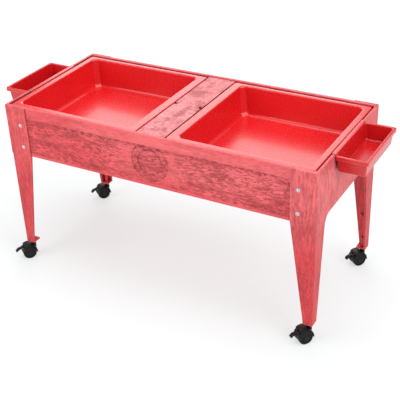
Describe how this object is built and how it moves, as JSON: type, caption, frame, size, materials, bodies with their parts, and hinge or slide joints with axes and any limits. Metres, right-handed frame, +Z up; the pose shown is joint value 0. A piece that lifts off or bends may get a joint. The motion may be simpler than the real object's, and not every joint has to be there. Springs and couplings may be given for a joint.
{
  "type": "sand and water table",
  "caption": "Wheeled sand and water play table: moulded frame with tapered legs, lift-out tubs either side of a bridge, hang-on end trays and braked swivel casters.",
  "frame": {"origin": "on the floor, in the middle of the whole footprint; the frame itself is centred 18 mm behind it because the casters trail forwards", "axes": "+X to the right along the length, +Y to the back, +Z up"},
  "size_m": [1.38, 0.579, 0.63],
  "materials": {
    "frame_marble": "moulded plastic marbled in two reds, satin",
    "bridge_marble": "moulded plastic marbled in two reds, satin, smoother on top",
    "tub_red": "glossy red thermoformed sheet",
    "tray_red": "glossy red moulded plastic",
    "zinc_steel": "zinc plated, bright",
    "caster_black": "black nylon, satin"
  },
  "bodies": {
    "frame": {"left_end_frame": "frame_marble", "right_end_frame": "frame_marble", "front_apron": "frame_marble", "rear_apron": "frame_marble", "bridge_beam": "frame_marble", "bridge_plate": "bridge_marble", "apron_bolts": "zinc_steel", "apron_washers": "zinc_steel", "apron_nuts": "zinc_steel", "beam_screws": "zinc_steel", "plate_screws": "zinc_steel", "stem_sockets": "frame_marble", "fl_caster_stem": "zinc_steel", "fr_caster_stem": "zinc_steel", "rl_caster_stem": "zinc_steel", "rr_caster_stem": "zinc_steel"},
    "left_tub": {"left_tub": "tub_red"},
    "left_tray": {"left_tray": "tray_red"},
    "right_tub": {"right_tub": "tub_red"},
    "right_tray": {"right_tray": "tray_red"},
    "fl_swivel": {"fl_caster_hood": "caster_black", "fl_caster_axle": "zinc_steel", "fl_caster_lever_pin": "zinc_steel"},
    "fl_wheel_left": {"fl_caster_wheel_left": "caster_black"},
    "fl_wheel_right": {"fl_caster_wheel_right": "caster_black"},
    "fl_lever": {"fl_caster_brake_lever": "caster_black"},
    "fr_swivel": {"fr_caster_hood": "caster_black", "fr_caster_axle": "zinc_steel", "fr_caster_lever_pin": "zinc_steel"},
    "fr_wheel_left": {"fr_caster_wheel_left": "caster_black"},
    "fr_wheel_right": {"fr_caster_wheel_right": "caster_black"},
    "fr_lever": {"fr_caster_brake_lever": "caster_black"},
    "rl_swivel": {"rl_caster_hood": "caster_black", "rl_caster_axle": "zinc_steel", "rl_caster_lever_pin": "zinc_steel"},
    "rl_wheel_left": {"rl_caster_wheel_left": "caster_black"},
    "rl_wheel_right": {"rl_caster_wheel_right": "caster_black"},
    "rl_lever": {"rl_caster_brake_lever": "caster_black"},
    "rr_swivel": {"rr_caster_hood": "caster_black", "rr_caster_axle": "zinc_steel", "rr_caster_lever_pin": "zinc_steel"},
    "rr_wheel_left": {"rr_caster_wheel_left": "caster_black"},
    "rr_wheel_right": {"rr_caster_wheel_right": "caster_black"},
    "rr_lever": {"rr_caster_brake_lever": "caster_black"}
  },
  "joints": [
    {"name": "left_tub_lift", "type": "slide", "parent": "frame", "child": "left_tub", "axis": [0, 0, 1], "range_m": [0, 0.14]},
    {"name": "left_tray_lift", "type": "slide", "parent": "frame", "child": "left_tray", "axis": [0, 0, 1], "range_m": [0, 0.05]},
    {"name": "right_tub_lift", "type": "slide", "parent": "frame", "child": "right_tub", "axis": [0, 0, 1], "range_m": [0, 0.14]},
    {"name": "right_tray_lift", "type": "slide", "parent": "frame", "child": "right_tray", "axis": [0, 0, 1], "range_m": [0, 0.05]},
    {"name": "fl_caster_swivel", "type": "hinge", "parent": "frame", "child": "fl_swivel", "pos_m": [-0.566, -0.23, 0.058], "axis": [0, 0, 1], "continuous": true},
    {"name": "fl_wheel_left_roll", "type": "hinge", "parent": "fl_swivel", "child": "fl_wheel_left", "pos_m": [-0.5792, -0.2476, 0.025], "axis": [-0.8, 0.6, 0], "continuous": true},
    {"name": "fl_wheel_right_roll", "type": "hinge", "parent": "fl_swivel", "child": "fl_wheel_right", "pos_m": [-0.5792, -0.2476, 0.025], "axis": [-0.8, 0.6, 0], "continuous": true},
    {"name": "fl_brake_press", "type": "hinge", "parent": "fl_swivel", "child": "fl_lever", "pos_m": [-0.59362, -0.26683, 0.04378], "axis": [0.8, -0.6, 0], "range_deg": [0, 14]},
    {"name": "fr_caster_swivel", "type": "hinge", "parent": "frame", "child": "fr_swivel", "pos_m": [0.566, -0.23, 0.058], "axis": [0, 0, 1], "continuous": true},
    {"name": "fr_wheel_left_roll", "type": "hinge", "parent": "fr_swivel", "child": "fr_wheel_left", "pos_m": [0.5528, -0.2476, 0.025], "axis": [-0.8, 0.6, 0], "continuous": true},
    {"name": "fr_wheel_right_roll", "type": "hinge", "parent": "fr_swivel", "child": "fr_wheel_right", "pos_m": [0.5528, -0.2476, 0.025], "axis": [-0.8, 0.6, 0], "continuous": true},
    {"name": "fr_brake_press", "type": "hinge", "parent": "fr_swivel", "child": "fr_lever", "pos_m": [0.53838, -0.26683, 0.04378], "axis": [0.8, -0.6, 0], "range_deg": [0, 14]},
    {"name": "rl_caster_swivel", "type": "hinge", "parent": "frame", "child": "rl_swivel", "pos_m": [-0.566, 0.266, 0.058], "axis": [0, 0, 1], "continuous": true},
    {"name": "rl_wheel_left_roll", "type": "hinge", "parent": "rl_swivel", "child": "rl_wheel_left", "pos_m": [-0.5792, 0.2484, 0.025], "axis": [-0.8, 0.6, 0], "continuous": true},
    {"name": "rl_wheel_right_roll", "type": "hinge", "parent": "rl_swivel", "child": "rl_wheel_right", "pos_m": [-0.5792, 0.2484, 0.025], "axis": [-0.8, 0.6, 0], "continuous": true},
    {"name": "rl_brake_press", "type": "hinge", "parent": "rl_swivel", "child": "rl_lever", "pos_m": [-0.59362, 0.22917, 0.04378], "axis": [0.8, -0.6, 0], "range_deg": [0, 14]},
    {"name": "rr_caster_swivel", "type": "hinge", "parent": "frame", "child": "rr_swivel", "pos_m": [0.566, 0.266, 0.058], "axis": [0, 0, 1], "continuous": true},
    {"name": "rr_wheel_left_roll", "type": "hinge", "parent": "rr_swivel", "child": "rr_wheel_left", "pos_m": [0.5528, 0.2484, 0.025], "axis": [-0.8, 0.6, 0], "continuous": true},
    {"name": "rr_wheel_right_roll", "type": "hinge", "parent": "rr_swivel", "child": "rr_wheel_right", "pos_m": [0.5528, 0.2484, 0.025], "axis": [-0.8, 0.6, 0], "continuous": true},
    {"name": "rr_brake_press", "type": "hinge", "parent": "rr_swivel", "child": "rr_lever", "pos_m": [0.53838, 0.22917, 0.04378], "axis": [0.8, -0.6, 0], "range_deg": [0, 14]}
  ]
}
